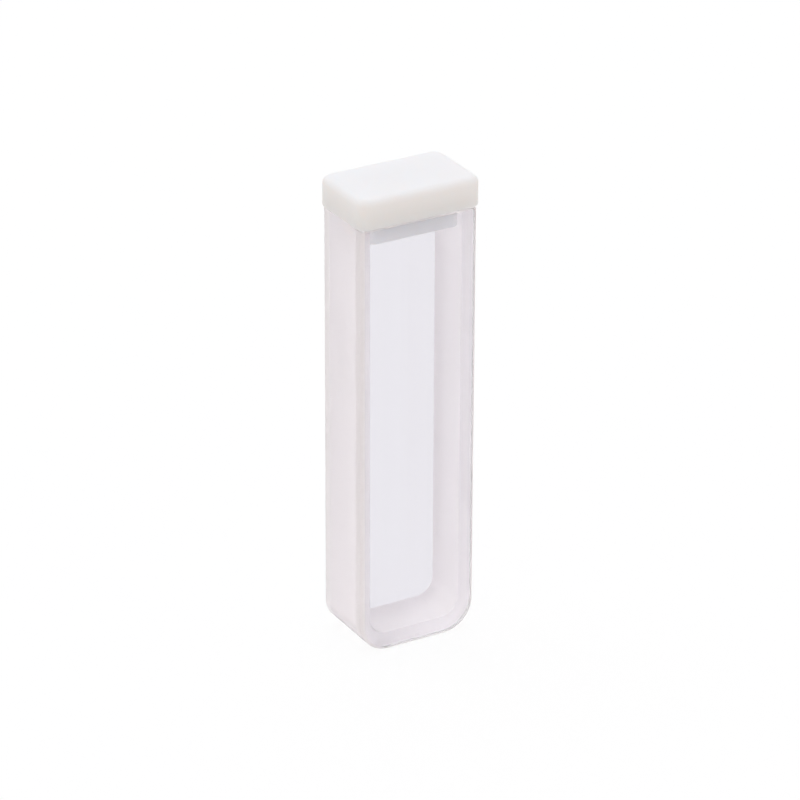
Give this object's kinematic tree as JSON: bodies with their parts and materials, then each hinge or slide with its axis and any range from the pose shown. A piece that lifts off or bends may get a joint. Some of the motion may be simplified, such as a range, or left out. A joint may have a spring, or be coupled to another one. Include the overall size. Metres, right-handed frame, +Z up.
{
  "type": "cuvette",
  "caption": "Short-path spectrophotometer cell: clear polished windows fused to a frosted U-shaped frame with rounded lower corners, closed by a white push-in lid.",
  "frame": {"origin": "centre of the flat base, on the surface that the cell stands on", "axes": "+Z up from base to lid, +Y along the light path from the front window to the rear window, +X across the windows"},
  "size_m": [0.0132, 0.0082, 0.048],
  "materials": {
    "polished_quartz": "optically polished, clear",
    "ground_quartz": "finely ground, frosted",
    "lid_white": "smooth waxy white PTFE"
  },
  "bodies": {
    "root": {"side_frame": "ground_quartz", "front_window": "polished_quartz", "rear_window": "polished_quartz", "lid": "lid_white"}
  },
  "joints": []
}
